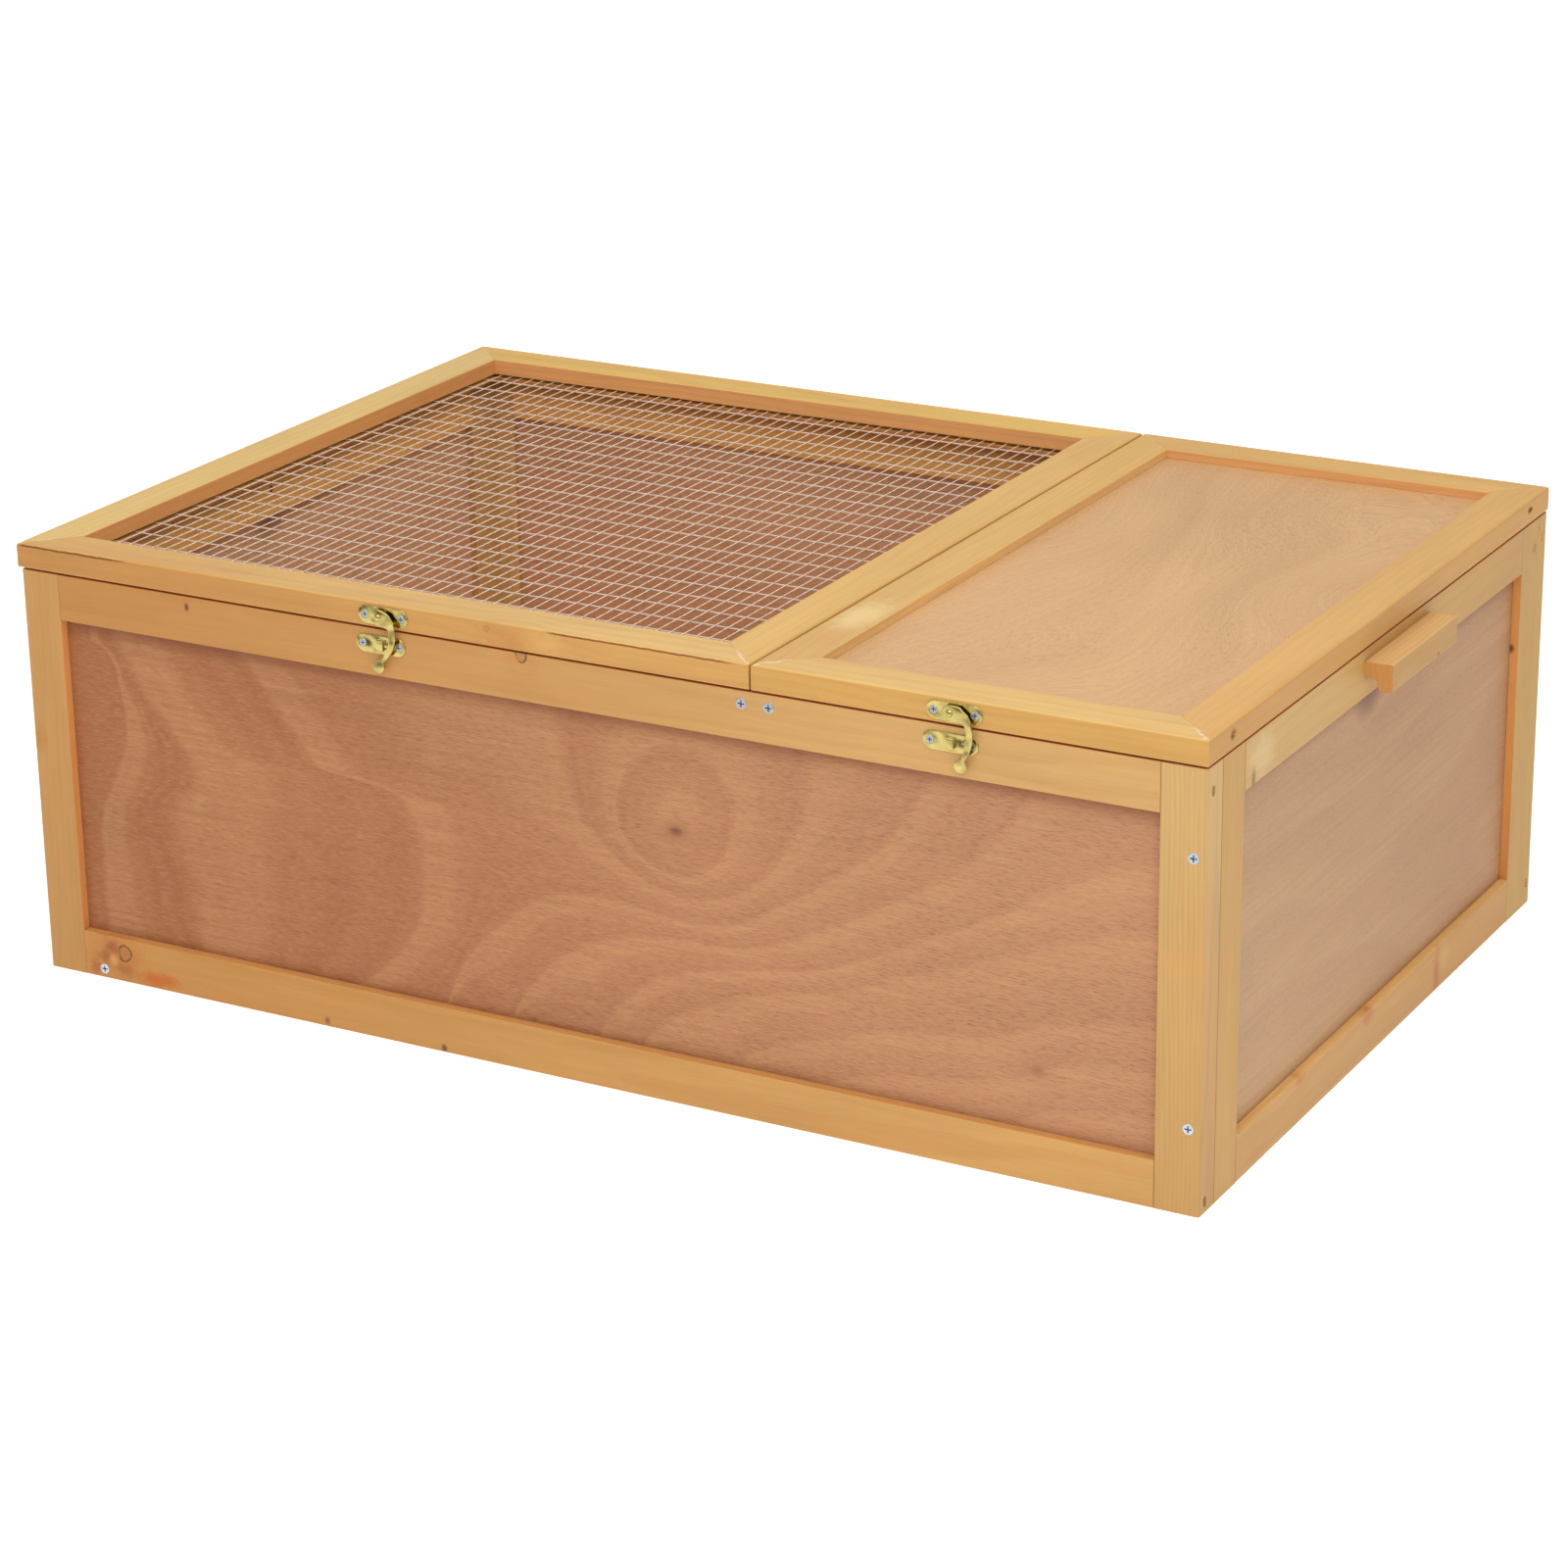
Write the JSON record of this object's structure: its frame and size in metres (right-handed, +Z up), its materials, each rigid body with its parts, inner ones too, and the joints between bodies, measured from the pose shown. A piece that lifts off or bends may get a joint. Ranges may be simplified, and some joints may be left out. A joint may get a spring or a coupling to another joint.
{
  "type": "rabbit hutch",
  "caption": "Low pet hutch with framed plywood walls, a hinged wire-mesh lid over the run and a hinged solid one over the sleeping room, hook latches and carrying handles.",
  "frame": {"origin": "bottom centre of the whole hutch, on the surface it stands on", "axes": "+X to the right along the long side, +Y from the latched front to the hinged back, +Z up"},
  "size_m": [0.937, 0.609, 0.3175],
  "materials": {
    "pine": "satin varnish",
    "wall_plywood": "satin varnish",
    "side_plywood": "satin varnish",
    "lid_plywood": "satin varnish",
    "inner_plywood": "plain",
    "mesh_wire": "galvanized",
    "zinc_steel": "bright zinc",
    "brass": "bright brass plate"
  },
  "bodies": {
    "case": {"front_left_stile": "pine", "front_right_stile": "pine", "front_top_rail": "pine", "front_bottom_rail": "pine", "front_panel": "wall_plywood", "back_left_stile": "pine", "back_right_stile": "pine", "back_top_rail": "pine", "back_bottom_rail": "pine", "back_panel": "wall_plywood", "left_front_stile": "pine", "left_back_stile": "pine", "left_top_rail": "pine", "left_bottom_rail": "pine", "left_panel": "side_plywood", "right_front_stile": "pine", "right_back_stile": "pine", "right_top_rail": "pine", "right_bottom_rail": "pine", "right_panel": "side_plywood", "floor_panel": "inner_plywood", "floor_joists": "pine", "lid_crossbar": "pine", "partition_panel": "inner_plywood", "partition_battens": "pine", "left_handle": "pine", "right_handle": "pine", "corner_dowels": "pine", "frame_brads": "zinc_steel", "case_screws": "zinc_steel", "left_catch_plate": "brass", "right_catch_plate": "brass", "catch_screws": "zinc_steel", "case_hinge_leaves": "zinc_steel", "hinge_pins": "zinc_steel", "case_hinge_screws": "zinc_steel"},
    "left_lid": {"left_lid_front_member": "pine", "left_lid_back_member": "pine", "left_lid_left_member": "pine", "left_lid_right_member": "pine", "mesh_long_wires": "mesh_wire", "mesh_cross_wires": "mesh_wire", "left_lid_brads": "zinc_steel", "left_lid_hinge_leaves": "zinc_steel", "left_lid_screws": "zinc_steel", "left_hook_plate": "brass", "left_hook_rivet": "brass"},
    "left_hook": {"left_hook": "brass"},
    "right_lid": {"right_lid_front_member": "pine", "right_lid_back_member": "pine", "right_lid_left_member": "pine", "right_lid_right_member": "pine", "right_lid_panel": "lid_plywood", "right_lid_brads": "zinc_steel", "right_lid_hinge_leaves": "zinc_steel", "right_lid_screws": "zinc_steel", "right_hook_plate": "brass", "right_hook_rivet": "brass"},
    "right_hook": {"right_hook": "brass"}
  },
  "joints": [
    {"name": "left_lid_hinge", "type": "hinge", "parent": "case", "child": "left_lid", "pos_m": [-0.1585, 0.302, 0.29925], "axis": [-1, 0, 0], "range_deg": [0, 180]},
    {"name": "right_lid_hinge", "type": "hinge", "parent": "case", "child": "right_lid", "pos_m": [0.2915, 0.302, 0.29925], "axis": [-1, 0, 0], "range_deg": [0, 180]},
    {"name": "left_hook_pivot", "type": "hinge", "parent": "left_lid", "child": "left_hook", "pos_m": [-0.1477, -0.30295, 0.3084], "axis": [0, -1, 0], "range_deg": [-10.5, 104.5]},
    {"name": "right_hook_pivot", "type": "hinge", "parent": "right_lid", "child": "right_hook", "pos_m": [0.2763, -0.30295, 0.3084], "axis": [0, -1, 0], "range_deg": [-25, 90]}
  ]
}
